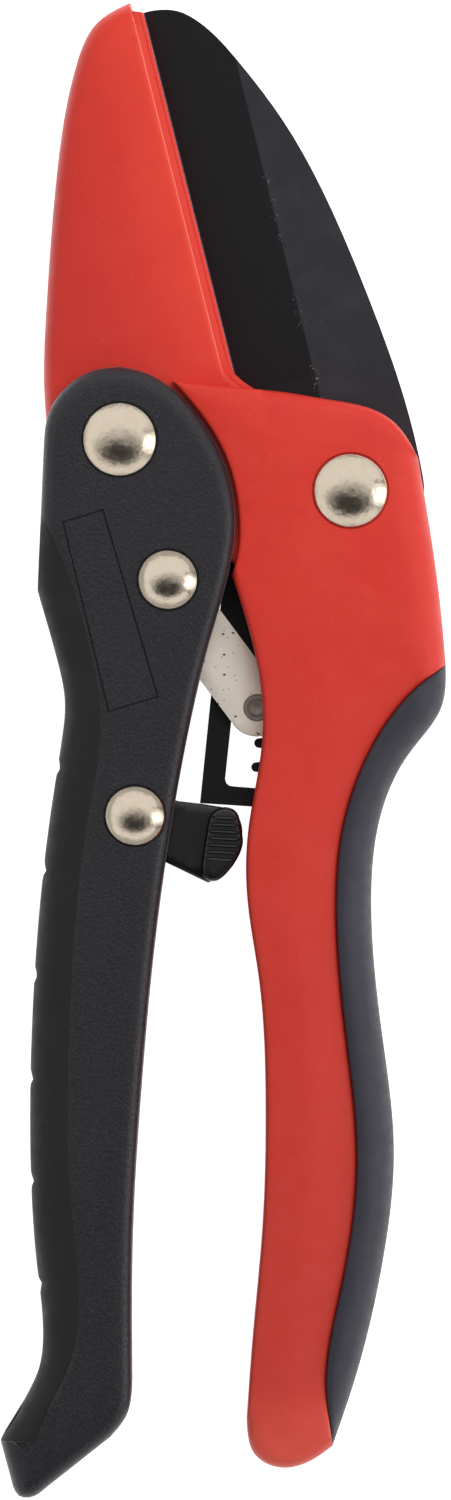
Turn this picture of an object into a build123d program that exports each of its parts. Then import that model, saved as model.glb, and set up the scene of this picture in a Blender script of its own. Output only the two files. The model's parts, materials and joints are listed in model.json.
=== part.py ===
"""Ratchet anvil pruning shears, closed, lying on their back face.

A moulded body carries the anvil jaw and the lower handle. A steel blade turns in a slot in
that body, and its tang is a window with ratchet notches down one side. A channel-shaped lever
handle straddles the body. Two link plates hang from the lever, and the pin that joins them
pushes on one notch of the tang after another, so a cut is made in three short squeezes.

Frame: millimetres, +Z up. The tool lies flat: +Y runs from the handle ends to the jaw, +X from
the lever to the body handle, and Z=0 is the surface it lies on. The origin is the middle of
the tool's footprint. Every piece is symmetric about the plane Z=MID, unless it says otherwise.
"""

import os
from math import cos, radians, sin, sqrt

from build123d import *

os.makedirs("parts", exist_ok=True)

# --- heights, each measured from the middle plane unless it says otherwise ---
MID = 10.0  # height of the middle plane above the surface that the tool lies on
LEVER_HALF = 10.0  # outside of the lever's cheeks
CHEEK_INNER = 6.65  # inside of the lever's cheeks
BODY_HALF = 9.2  # face of the body's raised part and handle
HEAD_HALF = 6.2  # face of the body's head, between the lever's cheeks
JAW_TIP_HALF = 4.2  # face of the anvil jaw at its tip
ANVIL_HALF = 3.2  # the anvil's land, which the blade closes on
GRIP_HALF = 10.0  # rubber on the body handle
LEVER_GRIP_HALF = 9.9  # rubber on the lever
BLADE_HALF = 1.5
SLOT_HALF = 1.9  # slot for the blade
LINK_INNER = 1.75  # inside of the link plates
LINK_OUTER = 3.55  # outside of the link plates
LINK_SLOT_HALF = 3.85  # wide slot for the link plates
ABOVE = 15.0  # beyond every surface, for cutting tools

# --- joints' places in the plane ---
LEVER_PIVOT = (-14.3, 42.4)
BLADE_PIVOT = (17.3, 35.4)
LINK_PIVOT = (-7.7, 23.2)
LATCH_PIVOT = (-12.2, -9.1)
LINK_PIN = (4.5, 5.7)

# --- rivets ---
BIG_HEAD_R, BIG_SHANK_R = 5.05, 3.0
SMALL_HEAD_R, SMALL_SHANK_R = 4.1, 2.0
HEAD_RIM = 0.45  # thickness of a head at its edge
HEAD_SINK = 0.45  # depth of the seat that a head sits in
DOME = 1.75  # height of a head's dome above its rim
TAIL_SINK = 1.3  # depth of the seat that a tail is spun into
WASHER_T = 0.55  # washer under a tail
TAIL_T = 0.6  # thickness of a spun tail
SEAT_GAP = 0.25  # radial room around a head or washer in its seat
FIT = 0.05  # radial running clearance
PRESS = 0.02  # radial clearance of a piece that is held still

# --- blade, link and latch ---
BLADE_BASE_R = 10.2  # round base of the blade about its pivot
BLADE_SLOT_R = 10.8  # slot's wall round that base
BLADE_LOBE_R = 21.4  # blade's side towards the lever, about its pivot
BODY_POCKET_R = 22.0  # slot's round end about the blade pivot
GRIND_W = 10.8  # width of the blade's ground bevel
EDGE_HALF = 0.12  # half thickness left at the cutting edge
ANVIL_GAP = 0.1  # between the cutting edge and the anvil
PIN_R = 1.1
PIN_HEAD_R = 1.8
PIN_HEAD_SINK = 0.45  # depth of the seat that a pin end is riveted into
LINK_PIN_END_R = 3.95
LINK_PIVOT_END_R = 4.0
LATCH_PAD_HALF = 7.4  # face of the latch's thumb pads
LATCH_ARM_HALF = 4.2
LATCH_HUB_HALF = 6.0
TOOTH_GAP = 0.15  # between the latch's tooth and the front half of the tang
LATCH_HUB_R = 4.2

# --- lever pivot ---
BUSH_R = 3.95
SPRING_POCKET_R = 6.4
SPRING_POCKET_HALF = 2.5
HEAD_ROOM_R = 11.3  # room round the body's head inside the lever
LEVER_CORE_HALF = 7.6  # lever's material inside the rubber

# --- cutting edge: a straight line down the anvil ---
EDGE_TOP = Vector(-11.2, 101.1)
EDGE_FOOT = Vector(1.25, 51.6)
EDGE_ALONG = (EDGE_FOOT - EDGE_TOP).normalized()
EDGE_OUT = Vector(-EDGE_ALONG.Y, EDGE_ALONG.X)  # from the anvil into the blade

# --- outlines that two pieces share, as points in the plane ---
LEVER_BROW = (-24.7, 41.5)
LEVER_CREST = (-14.3, 52.4)
LEVER_INNER_EDGE = [
    (-10.6, 51.5), (-7.4, 49.6), (-3.3, 45.2), (0.1, 39.0), (1.5, 32.0), (0.7, 24.6),
    (-2.1, 14.3), (-4.7, 3.4), (-7.0, -9.0), (-9.5, -26.8), (-11.4, -47.4),
    (-12.5, -66.0), (-12.6, -86.5),
]
LEVER_OUTER_EDGE = [
    (-27.4, -89.3), (-25.4, -84.9), (-24.8, -80.0), (-25.6, -71.0), (-26.5, -57.0),
    (-26.4, -40.0), (-25.3, -22.0), (-23.9, -9.7), (-22.2, 1.6), (-21.8, 6.2),
    (-22.8, 12.0), (-25.2, 20.5),
]
LEVER_SHOULDER = (-25.55, 21.8)
LEVER_BAND_TOP = (-25.13, 31.5)
LEVER_CREASE = [
    (-24.6, 31.5), (-20.4, 21.2), (-18.0, 12.0), (-16.9, 4.0), (-18.6, -9.0),
    (-20.4, -24.0), (-21.4, -46.0), (-21.0, -62.0), (-19.9, -77.0), (-21.3, -84.4),
    (-23.8, -89.6),
]
LEVER_CREASE_END = (-26.0, -94.8)
LEVER_TOE = (-30.6, -94.6)
LEVER_HEEL = (-28.9, -101.3)
GRIP_SEAM = [
    (30.4, 11.6), (26.1, 8.2), (22.5, 4.0), (18.2, -4.2), (16.0, -12.4),
    (15.4, -22.7), (16.7, -39.1), (18.2, -56.3), (16.0, -74.1), (14.0, -86.5),
    (14.9, -95.4),
]
GRIP_OUTER = [
    (30.4, 11.6), (29.9, 6.0), (25.6, -0.3), (21.7, -8.3), (20.2, -21.5),
    (21.7, -39.1), (23.3, -54.9), (21.8, -70.0), (18.0, -86.2), (14.9, -95.4),
]
BODY_INNER_EDGE = [
    (1.1, 23.8), (3.4, 16.4), (5.1, 8.0), (5.1, -0.1), (3.4, -10.5), (3.2, -20.6),
    (4.7, -31.0), (5.7, -49.0), (5.3, -65.0), (3.9, -81.0), (3.1, -92.0),
]
LEVER_WEB = [
    (-22.6, 33.0), (-21.6, 21.0), (-19.6, 12.0), (-18.6, 4.5), (-19.9, -9.0), (-21.7, -24.0),
    (-22.6, -46.0), (-22.4, -60.0), (-21.4, -74.0), (-20.6, -86.0),
]
LEVER_RIBS = [((-17.2, -30.0), 10.6), ((-18.2, -52.0), 9.6), ((-18.2, -74.0), 8.4)]
LEVER_PANEL = [(-22.2, 31.2), (-16.5, 32.9), (-8.9, 7.1), (-15.9, 5.0)]
LEVER_GROOVES = [
    (-23.3, -2.5), (-24.9, -16.5), (-26.1, -30.9), (-26.75, -45.0), (-26.5, -59.0),
    (-25.5, -73.2),
]
TANG_WINDOW = [
    (1.4, 7.6), (0.15, -4.1), (0.3, -4.65), (0.75, -5.0), (1.4, -5.1), (5.3, -5.4),
    (5.75, 1.0), (5.75, 7.6),
]
RATCHET_NOTCH_TIPS = [(4.8, 0.85), (4.4, -2.45)]
NOTCH_TIP_R = 0.66
LATCH_PAD = [
    (-0.1, -8.1), (1.8, -9.7), (2.5, -12.4), (2.0, -14.7), (0.5, -16.7), (-1.5, -17.8),
    (-2.8, -16.4), (-3.0, -14.0), (-2.7, -11.3), (-2.0, -9.3),
]
HEAD_R = 9.8  # body's head about the lever pivot, just inside the lever's outline


def middle(height=0.0):
    """The plane at a height above the middle plane."""
    return Plane.XY.offset(MID + height)


def upright(point):
    """A vertical plane through a joint, for a profile that is revolved about its axis."""
    return Plane(origin=(*point, MID), x_dir=(1, 0, 0), z_dir=(0, -1, 0))


def through(point):
    """The vertical axis through a joint."""
    return Axis((*point, 0), (0, 0, 1))


def save(solid, label):
    """Labels a finished piece and writes it as its own STEP."""
    solid.label = label
    export_step(solid, f"parts/{label}.step")
    return solid


def polar(centre, radius, degrees):
    """The point at an angle and a distance from a joint."""
    return (
        centre[0] + radius * cos(radians(degrees)),
        centre[1] + radius * sin(radians(degrees)),
    )


def dome_arc(rim_radius, rim_height, rise):
    """The profile of a shallow dome, from its rim to its top on the axis."""
    sphere = (rim_radius**2 + rise**2) / (2 * rise)
    half = 0.55 * rim_radius
    waist = rim_height + rise - sphere + sqrt(sphere**2 - half**2)
    ThreePointArc((rim_radius, rim_height), (half, waist), (0, rim_height + rise))


def rivet(point, head_r, shank_r, seat_half):
    """A domed rivet through both walls, its tail spun flush over a washer at the back."""
    head_seat = seat_half - HEAD_SINK
    tail_top = -(seat_half - TAIL_SINK) - WASHER_T
    tail_r = shank_r + 1.1
    with BuildPart() as made:
        with BuildSketch(upright(point)):
            with BuildLine():
                Polyline(
                    (0, tail_top - TAIL_T), (tail_r - 0.3, tail_top - TAIL_T),
                    (tail_r, tail_top - TAIL_T + 0.3), (tail_r, tail_top),
                    (shank_r, tail_top), (shank_r, head_seat), (head_r, head_seat),
                    (head_r, head_seat + HEAD_RIM),
                )
                dome_arc(head_r, head_seat + HEAD_RIM, DOME)
                Line((0, head_seat + HEAD_RIM + DOME), (0, tail_top - TAIL_T))
            make_face()
        revolve(axis=through(point))
    return made.part


def ring(point, outer, inner, low, high):
    """A plain ring about a joint, between two heights from the middle plane."""
    with BuildPart() as made:
        with BuildSketch(middle(low)):
            with Locations(point):
                Circle(outer)
                Circle(inner, mode=Mode.SUBTRACT)
        extrude(amount=high - low)
    return made.part


def torsion_spring(point, wire_r, mean_r, start, turned, height, legs):
    """A torsion spring about a joint, wound from one angle through another, with two straight legs."""
    pitch = 2 * wire_r * 1.06
    low = MID + height - pitch * turned / 720

    def on_coil(degrees):
        x, y = polar(point, mean_r, start + degrees)
        return Vector(x, y, low + pitch * degrees / 360)

    first, last = on_coil(0), on_coil(turned)
    back = Vector(sin(radians(start)), -cos(radians(start)), 0)
    on = Vector(-sin(radians(start + turned)), cos(radians(start + turned)), 0)
    path = [first + back * legs[0] * step / 4 for step in (4, 3, 2, 1)]
    path += [on_coil(turned * step / 26) for step in range(27)]
    path += [last + on * legs[1] * step / 2 for step in (1, 2)]
    with BuildPart() as made:
        with BuildLine() as wire:
            Spline(*path)
        with BuildSketch(Plane(wire.line @ 0, z_dir=wire.line % 0)):
            Circle(wire_r)
        sweep(path=wire.line)
    return made.part


def lever_outline():
    """The lever handle's whole outline, with the rubber on its back edge."""
    ThreePointArc(LEVER_BROW, (-21.6, 49.5), LEVER_CREST)
    Spline(LEVER_CREST, *LEVER_INNER_EDGE)
    Spline(LEVER_INNER_EDGE[-1], (-13.2, -90.9), (-15.6, -94.2))
    Line((-15.6, -94.2), (-24.2, -101.0))
    Spline((-24.2, -101.0), (-26.8, -102.5), LEVER_HEEL)
    Line(LEVER_HEEL, LEVER_TOE)
    Line(LEVER_TOE, LEVER_OUTER_EDGE[0])
    Spline(*LEVER_OUTER_EDGE)
    Polyline(LEVER_OUTER_EDGE[-1], LEVER_SHOULDER, LEVER_BROW)


def lever_band(out):
    """The band along the lever's back edge that the rubber covers, its outside moved out."""
    Spline(*LEVER_CREASE)
    Line(LEVER_CREASE[-1], LEVER_CREASE_END)
    toe = (LEVER_TOE[0] - out, LEVER_TOE[1])
    outer = [(x - out, y) for x, y in LEVER_OUTER_EDGE]
    shoulder = (LEVER_SHOULDER[0] - out, LEVER_SHOULDER[1])
    top = (LEVER_BAND_TOP[0] - out, LEVER_BAND_TOP[1])
    Line(LEVER_CREASE_END, toe)
    Line(toe, outer[0])
    Spline(*outer)
    Polyline(outer[-1], shoulder, top, LEVER_CREASE[0])


def lever_core():
    """The lever's own material inside the rubber."""
    crease = [(x + 1.0, y) for x, y in LEVER_CREASE[1:-1]]
    outer = [(x + 1.7, y) for x, y in LEVER_OUTER_EDGE[1:-1]]
    Spline(*crease)
    Line(crease[-1], outer[0])
    Spline(*outer)
    Line(outer[-1], crease[0])


def grip_band():
    """The band along the body handle's outer edge that the rubber covers."""
    Spline(*GRIP_SEAM)
    Spline(*GRIP_OUTER)


def grip_core():
    """The tongue of the body handle inside the rubber."""
    seam = [(x - 1.0, y) for x, y in GRIP_SEAM[2:-1]]
    outer = [(x - 2.0, y) for x, y in GRIP_OUTER[2:-2]]
    Spline(*seam)
    Line(seam[-1], outer[-1])
    Spline(*outer)
    Line(outer[0], seam[0])


def link_outline():
    """A link plate: round ends about the lever's rivet and the ratchet pin."""
    along = (Vector(*LINK_PIN) - Vector(*LINK_PIVOT)).normalized()
    across = Vector(-along.Y, along.X)
    top_end = Vector(*LINK_PIVOT) - across * 0.7
    pin_end = Vector(*LINK_PIN)
    a, b = top_end + across * LINK_PIVOT_END_R, top_end - across * LINK_PIVOT_END_R
    c, d = pin_end + across * LINK_PIN_END_R, pin_end - across * LINK_PIN_END_R
    ThreePointArc(a, top_end - along * LINK_PIVOT_END_R, b)
    Line(b, d)
    ThreePointArc(d, pin_end + along * LINK_PIN_END_R, c)
    Line(c, a)


def extruded(outline, low, high):
    """A solid between two heights from the middle plane, with one of the outlines above."""
    with BuildPart() as made:
        with BuildSketch(middle(low)):
            with BuildLine():
                outline()
            make_face()
        extrude(amount=high - low)
    return made.part


def rivet_seats(part, point, head_r, shank_r, half):
    """Cuts a rivet's bore, the shallow seat of its head and the deeper one of its tail."""
    with BuildPart() as tool:
        with BuildSketch(middle(-ABOVE)):
            with Locations(point):
                Circle(shank_r + PRESS)
        extrude(amount=2 * ABOVE)
        with BuildSketch(middle(half - HEAD_SINK)):
            with Locations(point):
                Circle(head_r + SEAT_GAP)
        extrude(amount=ABOVE)
        with BuildSketch(middle(-(half - TAIL_SINK))):
            with Locations(point):
                Circle(head_r)
        extrude(amount=-ABOVE)
    return part - tool.part


# --- body: jaw, head, raised part and handle in one moulding ---
with BuildPart() as anvil_body:
    # raised part around the blade pivot, and the handle below it
    with BuildSketch(middle()):
        with BuildLine():
            Line((-7.0, 50.4), (5.6, 49.2))
            Spline(
                (5.6, 49.2), (8.0, 48.95), (14.0, 47.97), (19.6, 46.85), (22.9, 45.15),
                (25.1, 42.6), (26.6, 39.9),
            )
            Spline((26.6, 39.9), (28.5, 28.5), (29.8, 18.5), GRIP_SEAM[0])
            Spline(*GRIP_SEAM)
            Spline(GRIP_SEAM[-1], (12.2, -97.3), (7.6, -98.4), (4.2, -96.6), BODY_INNER_EDGE[-1])
            Spline(*reversed(BODY_INNER_EDGE))
            Spline(
                BODY_INNER_EDGE[0], (1.95, 27.6), (2.0, 32.2), (0.55, 39.2), (-2.9, 45.5),
                (-7.0, 50.4),
            )
        make_face()
    extrude(amount=BODY_HALF, both=True)
    fillet(anvil_body.faces().filter_by(Axis.Z).edges(), radius=1.6)
    # head between the lever's cheeks, neck, and the jaw up to its tip
    with BuildSketch(middle()):
        with BuildLine():
            Polyline((10.0, 46.0), (10.0, 25.5), (2.5, 24.4), (-8.6, 34.4))
            RadiusArc((-8.6, 34.4), (-24.0, 41.0), HEAD_R)
            Spline(
                (-24.0, 41.0), (-24.7, 50.0), (-24.4, 60.3), (-22.9, 79.5), (-20.3, 93.9),
                (-17.4, 99.8), (-12.9, 102.5),
            )
            Polyline((-12.9, 102.5), (-12.3, 100.6), (-0.25, 52.6))
            Spline((-0.25, 52.6), (1.9, 50.1), (5.6, 49.0))
            Line((5.6, 49.0), (10.0, 46.0))
        make_face()
    extrude(amount=HEAD_HALF, both=True)
    # both faces of the jaw fall away towards its tip
    for side in (1, -1):
        with BuildSketch(Plane.YZ):
            Polygon(
                (56.0, MID + side * HEAD_HALF), (104.0, MID + side * JAW_TIP_HALF),
                (104.0, MID + side * ABOVE), (56.0, MID + side * ABOVE), align=None,
            )
        extrude(amount=-40, mode=Mode.SUBTRACT)
    # anvil: a land that stands proud of the jaw, with the cutting edge's line for its face
    with BuildSketch(middle()):
        with BuildLine():
            Polyline(
                EDGE_TOP - EDGE_ALONG * 0.2, EDGE_FOOT, (2.6, 50.4), (4.4, 49.2), (-1.6, 48.8),
                (-13.2, 99.0), EDGE_TOP - EDGE_ALONG * 0.2,
            )
        make_face()
    extrude(amount=ANVIL_HALF, both=True)
    add(extruded(grip_core, -6.5, 6.5))
    # slot for the blade and its tang, open above and to the left
    with BuildSketch(middle()):
        with BuildLine():
            Polyline(
                EDGE_FOOT, (40.0, 90.0), (40.0, 30.9), polar(BLADE_PIVOT, BLADE_SLOT_R, -25),
            )
            ThreePointArc(
                polar(BLADE_PIVOT, BLADE_SLOT_R, -25), polar(BLADE_PIVOT, BLADE_SLOT_R, -42),
                polar(BLADE_PIVOT, BLADE_SLOT_R, -60),
            )
            Polyline(
                polar(BLADE_PIVOT, BLADE_SLOT_R, -60), (12.6, 4.0), (10.6, -10.0),
                (-6.0, -10.0), (-12.0, 20.0), (-6.2, 34.0), (-4.6, 36.5),
            )
            ThreePointArc((-4.6, 36.5), polar(BLADE_PIVOT, BODY_POCKET_R, 155), EDGE_FOOT)
        make_face()
    extrude(amount=SLOT_HALF, both=True, mode=Mode.SUBTRACT)
    # wide part of the slot, for the link plates
    with BuildSketch(middle()):
        with BuildLine():
            Spline((-3.0, 26.5), (4.0, 20.0), (9.4, 9.5), (8.6, 2.4), (3.0, -0.4))
            Line((3.0, -0.4), (-3.0, 26.5))
        make_face()
    extrude(amount=LINK_SLOT_HALF, both=True, mode=Mode.SUBTRACT)
    # pocket for the opening spring, the way out for its long leg, and a hole for its short one
    with BuildSketch(middle()):
        with Locations(LEVER_PIVOT):
            Circle(SPRING_POCKET_R)
        Polygon(
            polar(LEVER_PIVOT, 3.5, 310), polar(LEVER_PIVOT, 14.0, 262),
            polar(LEVER_PIVOT, 16.0, 225), polar(LEVER_PIVOT, 13.0, 190),
            polar(LEVER_PIVOT, 3.5, 150), align=None,
        )
        Polygon((-11.2, 44.0), (-15.0, 50.6), (-13.2, 51.6), (-9.4, 45.0), align=None)
    extrude(amount=SPRING_POCKET_HALF, both=True, mode=Mode.SUBTRACT)
    # bore of the lever pivot's bush
    with BuildSketch(middle()):
        with Locations(LEVER_PIVOT):
            Circle(BUSH_R + PRESS)
    extrude(amount=ABOVE, both=True, mode=Mode.SUBTRACT)
body = rivet_seats(anvil_body.part, BLADE_PIVOT, BIG_HEAD_R, BIG_SHANK_R, BODY_HALF)
save(body, "anvil_body")

with BuildPart() as body_grip:
    add(extruded(grip_band, -GRIP_HALF, GRIP_HALF))
    outer_edges = body_grip.faces().filter_by(Axis.Z).edges().filter_by(
        lambda edge: (edge @ 0.5).X > 20
    )
    fillet(outer_edges, radius=2.6)
    add(extruded(grip_core, -6.5, 6.5), mode=Mode.SUBTRACT)
save(body_grip.part, "body_grip")

# --- lever handle: two cheeks and a back wall, open towards the body ---
with BuildPart() as lever:
    add(extruded(lever_outline, -LEVER_HALF, LEVER_HALF))
    with BuildSketch(middle()):
        with BuildLine():
            lever_band(3.0)
        make_face()
    extrude(amount=ABOVE, both=True, mode=Mode.SUBTRACT)
    add(extruded(lever_core, -LEVER_CORE_HALF, LEVER_CORE_HALF))
    # channel between the cheeks, open all round the head
    with BuildSketch(middle()):
        with BuildLine():
            Spline(*LEVER_WEB)
            Polyline(
                LEVER_WEB[-1], (-15.5, -88.5), (12.0, -88.5), (12.0, 60.0), (-40.0, 60.0),
                (-40.0, 36.5), (-23.0, 36.5), LEVER_WEB[0],
            )
        make_face()
        with Locations(LEVER_PIVOT):
            Circle(HEAD_ROOM_R)
    extrude(amount=CHEEK_INNER, both=True, mode=Mode.SUBTRACT)
    # cross ribs between the cheeks
    with BuildSketch(middle()):
        for centre, width in LEVER_RIBS:
            with Locations(centre):
                Rectangle(width, 1.6)
    extrude(amount=CHEEK_INNER + 0.1, both=True)
    # shallow panel in the front cheek
    with BuildSketch(middle(LEVER_HALF - 0.25)):
        Polygon(*LEVER_PANEL, align=None)
    extrude(amount=1.0, mode=Mode.SUBTRACT)
handle = rivet_seats(lever.part, LEVER_PIVOT, BIG_HEAD_R, BIG_SHANK_R, LEVER_HALF)
handle = rivet_seats(handle, LINK_PIVOT, SMALL_HEAD_R, SMALL_SHANK_R, LEVER_HALF)
handle = rivet_seats(handle, LATCH_PIVOT, SMALL_HEAD_R, SMALL_SHANK_R, LEVER_HALF)
save(handle, "lever_handle")

with BuildPart() as lever_grip:
    add(extruded(lambda: lever_band(0.0), -LEVER_GRIP_HALF, LEVER_GRIP_HALF))
    outer_edges = lever_grip.faces().filter_by(Axis.Z).edges().filter_by(
        lambda edge: edge.length > 80 and (edge @ 0.5).X < -24
    )
    fillet(outer_edges, radius=2.8)
    add(extruded(lever_core, -LEVER_CORE_HALF, LEVER_CORE_HALF), mode=Mode.SUBTRACT)
    # cross grooves
    with BuildSketch(middle()):
        with Locations(*LEVER_GROOVES):
            Circle(0.5)
    extrude(amount=ABOVE, both=True, mode=Mode.SUBTRACT)
save(lever_grip.part, "lever_grip")

# --- blade, with the ratchet window in its tang ---
with BuildPart() as blade:
    with BuildSketch(middle()):
        with BuildLine():
            edge_top = EDGE_TOP + EDGE_OUT * ANVIL_GAP
            edge_foot = EDGE_FOOT + EDGE_OUT * ANVIL_GAP
            lobe_top = polar(BLADE_PIVOT, BLADE_LOBE_R, 136)
            lobe_foot = polar(BLADE_PIVOT, BLADE_LOBE_R, 182)
            Spline(
                edge_top, (-8.8, 101.55), (-6.2, 101.3), (-3.8, 100.1), (1.9, 94.5),
                (8.1, 86.3), (14.8, 74.0), (20.0, 61.6), (24.4, 49.3),
                polar(BLADE_PIVOT, BLADE_BASE_R, 9),
            )
            ThreePointArc(
                polar(BLADE_PIVOT, BLADE_BASE_R, 9), polar(BLADE_PIVOT, BLADE_BASE_R, -28),
                polar(BLADE_PIVOT, BLADE_BASE_R, -65),
            )
            Polyline(
                polar(BLADE_PIVOT, BLADE_BASE_R, -65), (9.7, 6.0), (8.9, -8.2),
                (-3.3, -7.4), (-1.9, 6.4), (-0.1, 23.2), lobe_foot,
            )
            ThreePointArc(lobe_foot, polar(BLADE_PIVOT, BLADE_LOBE_R, 158), lobe_top)
            Polyline(lobe_top, edge_foot, edge_top)
        make_face()
        Polygon(*TANG_WINDOW, align=None, mode=Mode.SUBTRACT)
        for x, y in RATCHET_NOTCH_TIPS:
            Polygon(
                (x, y + NOTCH_TIP_R), (x, y - NOTCH_TIP_R), (x + 1.5, y - 0.9), (x + 1.5, y + 0.9),
                align=None,
            )
            with Locations((x, y)):
                Circle(NOTCH_TIP_R)
        with Locations(BLADE_PIVOT):
            Circle(BIG_SHANK_R + FIT, mode=Mode.SUBTRACT)
    extrude(amount=BLADE_HALF, both=True)
    # notch for the latch's tooth, in the rear half of the tang's thickness
    with BuildSketch(middle(-ABOVE)):
        Polygon((0.5, -9.0), (0.5, -6.3), (-2.2, -6.3), (-2.2, -9.0), align=None)
    extrude(amount=ABOVE, mode=Mode.SUBTRACT)
    # both faces are ground down to the cutting edge
    ground = Plane(
        origin=(EDGE_TOP.X, EDGE_TOP.Y, MID), x_dir=(EDGE_OUT.X, EDGE_OUT.Y, 0),
        z_dir=(EDGE_ALONG.X, EDGE_ALONG.Y, 0),
    )
    for side in (1, -1):
        with BuildSketch(ground.offset(-6)):
            Polygon(
                (ANVIL_GAP, side * EDGE_HALF), (GRIND_W, side * BLADE_HALF),
                (GRIND_W, side * 4), (-4, side * 4), (-4, side * EDGE_HALF), align=None,
            )
        extrude(amount=60, mode=Mode.SUBTRACT)
save(blade.part, "cutting_blade")

# --- link plates, the ratchet pin that joins them, and the spacer between them ---
for label, low, high in (
    ("link_front", LINK_INNER, LINK_OUTER), ("link_rear", -LINK_OUTER, -LINK_INNER),
):
    with BuildPart() as link:
        add(extruded(link_outline, low, high))
        with BuildSketch(middle()):
            with Locations(LINK_PIVOT):
                Circle(SMALL_SHANK_R + FIT)
            with Locations(LINK_PIN):
                Circle(PIN_R + PRESS)
        extrude(amount=ABOVE, both=True, mode=Mode.SUBTRACT)
        outside = LINK_OUTER - PIN_HEAD_SINK
        with BuildSketch(middle(outside if low > 0 else -ABOVE)):
            with Locations(LINK_PIN):
                Circle(PIN_HEAD_R + FIT)
        extrude(amount=ABOVE - outside, mode=Mode.SUBTRACT)
    save(link.part, label)

with BuildPart() as ratchet_pin:
    with BuildSketch(upright(LINK_PIN)):
        floor = LINK_OUTER - PIN_HEAD_SINK
        Polygon(
            (0, -floor - 0.6), (PIN_HEAD_R - 0.2, -floor - 0.6), (PIN_HEAD_R, -floor - 0.4),
            (PIN_HEAD_R, -floor), (PIN_R, -floor), (PIN_R, floor), (PIN_HEAD_R, floor),
            (PIN_HEAD_R, floor + 0.4), (PIN_HEAD_R - 0.2, floor + 0.6), (0, floor + 0.6),
            align=None,
        )
    revolve(axis=through(LINK_PIN))
save(ratchet_pin.part, "ratchet_pin")
save(ring(LINK_PIVOT, 3.3, SMALL_SHANK_R + FIT, -LINK_INNER + 0.02, LINK_INNER - 0.02), "link_spacer")

# --- latch on the lever: a fork round the tang, its tooth, and a ribbed thumb pad each side ---
with BuildPart() as latch:
    with BuildSketch(middle()):
        with Locations(LATCH_PIVOT):
            Circle(LATCH_HUB_R)
    extrude(amount=LATCH_HUB_HALF, both=True)
    with BuildSketch(middle()):
        with BuildLine():
            Polyline((-12.2, -4.9), (-6.3, -7.1), (-3.3, -7.45), (0.1, -8.0))
            Spline((0.1, -8.0), (1.9, -9.2), (2.5, -12.2), (1.9, -14.6), (0.2, -17.1), (-2.2, -18.3))
            Polyline((-2.2, -18.3), (-8.0, -15.5), (-13.4, -13.1), (-12.2, -4.9))
        make_face()
    extrude(amount=LATCH_ARM_HALF, both=True)
    # room for the tang between the two arms
    with BuildSketch(middle()):
        Polygon((-7.4, -3.0), (-7.4, -11.8), (5.0, -12.6), (5.0, -3.0), align=None)
    extrude(amount=SLOT_HALF, both=True, mode=Mode.SUBTRACT)
    with BuildSketch(middle(-TOOTH_GAP)):
        Polygon((-2.3, -13.5), (-1.5, -8.6), (0.1, -8.6), (0.9, -13.5), align=None)
    extrude(amount=-BLADE_HALF)
    # thumb pads
    for side in (1, -1):
        with BuildSketch(middle(side * (LATCH_ARM_HALF - 0.1))):
            with BuildLine():
                Spline(*LATCH_PAD, periodic=True)
            make_face()
        extrude(amount=side * (LATCH_PAD_HALF - LATCH_ARM_HALF + 0.1))
    fillet(
        latch.faces().filter_by(Axis.Z).group_by(Axis.Z)[0].edges()
        + latch.faces().filter_by(Axis.Z).group_by(Axis.Z)[-1].edges(), radius=0.7,
    )
    for step in range(8):
        for side in (1, -1):
            place = (-0.3, -9.7 - 0.92 * step, MID + side * LATCH_PAD_HALF)
            with Locations(Location(place, (0, 0, -3))):
                Box(4.4, 0.4, 0.9, mode=Mode.SUBTRACT)
    with BuildSketch(middle()):
        with Locations(LATCH_PIVOT):
            Circle(SMALL_SHANK_R + FIT)
    extrude(amount=ABOVE, both=True, mode=Mode.SUBTRACT)
save(latch.part, "lock_latch")

# --- rivets ---
save(rivet(LEVER_PIVOT, BIG_HEAD_R, BIG_SHANK_R, LEVER_HALF), "handle_pivot_rivet")
save(rivet(BLADE_PIVOT, BIG_HEAD_R, BIG_SHANK_R, BODY_HALF), "blade_pivot_rivet")
save(rivet(LINK_PIVOT, SMALL_HEAD_R, SMALL_SHANK_R, LEVER_HALF), "link_rivet")
save(rivet(LATCH_PIVOT, SMALL_HEAD_R, SMALL_SHANK_R, LEVER_HALF), "latch_rivet")

# --- washers, bush and spacers ---
tail_seat = -(LEVER_HALF - TAIL_SINK)
for label, point, head_r, shank_r, floor in (
    ("handle_rivet_washer", LEVER_PIVOT, BIG_HEAD_R, BIG_SHANK_R, tail_seat),
    ("link_rivet_washer", LINK_PIVOT, SMALL_HEAD_R, SMALL_SHANK_R, tail_seat),
    ("latch_rivet_washer", LATCH_PIVOT, SMALL_HEAD_R, SMALL_SHANK_R, tail_seat),
    ("blade_rivet_washer", BLADE_PIVOT, BIG_HEAD_R, BIG_SHANK_R, -(BODY_HALF - TAIL_SINK)),
):
    save(ring(point, head_r - SEAT_GAP, shank_r + PRESS, floor - WASHER_T, floor), label)


def pair(point, outer, inner, low, high, label):
    """Two equal rings, one each side of the middle plane, saved as one piece."""
    both = Compound([ring(point, outer, inner, low, high), ring(point, outer, inner, -high, -low)])
    save(both, label)


pair(BLADE_PIVOT, 8.0, BIG_SHANK_R + FIT, BLADE_HALF + 0.02, SLOT_HALF - 0.02, "blade_friction_washers")
pair(LINK_PIVOT, 2.9, SMALL_SHANK_R + PRESS, LINK_OUTER + 0.05, CHEEK_INNER - 0.05, "link_side_spacers")
pair(LATCH_PIVOT, 3.6, SMALL_SHANK_R + PRESS, LATCH_HUB_HALF + 0.05, CHEEK_INNER - 0.05, "latch_washers")
save(ring(LEVER_PIVOT, BUSH_R, BIG_SHANK_R + FIT, -6.5, 6.5), "handle_pivot_bush")

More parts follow.
